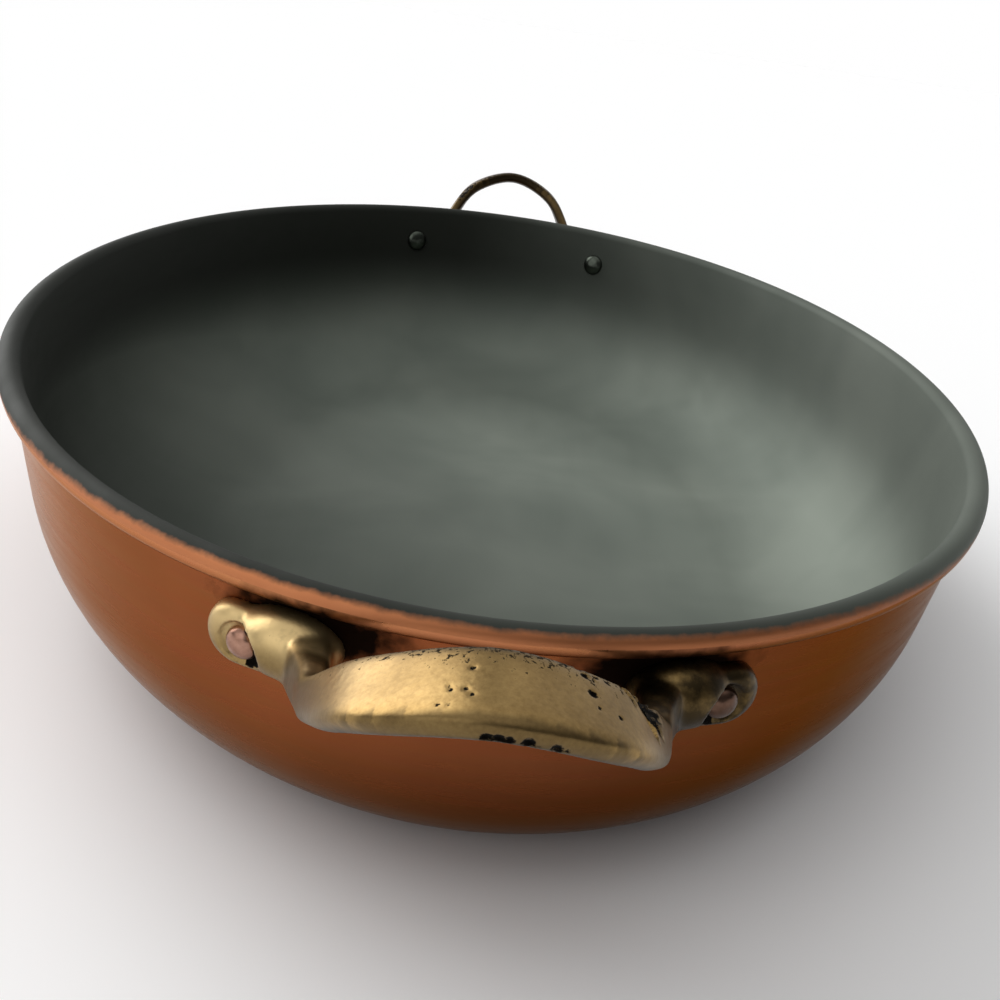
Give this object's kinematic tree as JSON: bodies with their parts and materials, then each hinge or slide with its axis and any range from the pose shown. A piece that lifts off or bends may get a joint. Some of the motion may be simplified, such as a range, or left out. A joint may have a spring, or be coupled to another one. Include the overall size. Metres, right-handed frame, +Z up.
{
  "type": "oval gratin pan",
  "caption": "Oval copper gratin pan with a flat base, a wide rounded corner, a tinned inside, a rolled bead round the rim and a cast brass loop handle riveted to each end.",
  "frame": {"origin": "middle of the flat base, on the surface that the pan stands on", "axes": "+Y along the oval's long axis from the front handle to the rear one, +X across the oval, +Z up"},
  "size_m": [0.28, 0.4906, 0.0866],
  "materials": {
    "copper": "hand-polished copper with brown tarnish",
    "tin": "dull wiped tin, cloudy grey",
    "brass": "as-cast brass, worn smooth, with pits",
    "rivet_copper": "hammered copper"
  },
  "bodies": {
    "root": {"copper_body": "copper", "tin_lining": "tin", "front_handle": "brass", "rear_handle": "brass", "front_handle_rivet_left": "rivet_copper", "front_handle_rivet_right": "rivet_copper", "rear_handle_rivet_left": "rivet_copper", "rear_handle_rivet_right": "rivet_copper"}
  },
  "joints": []
}
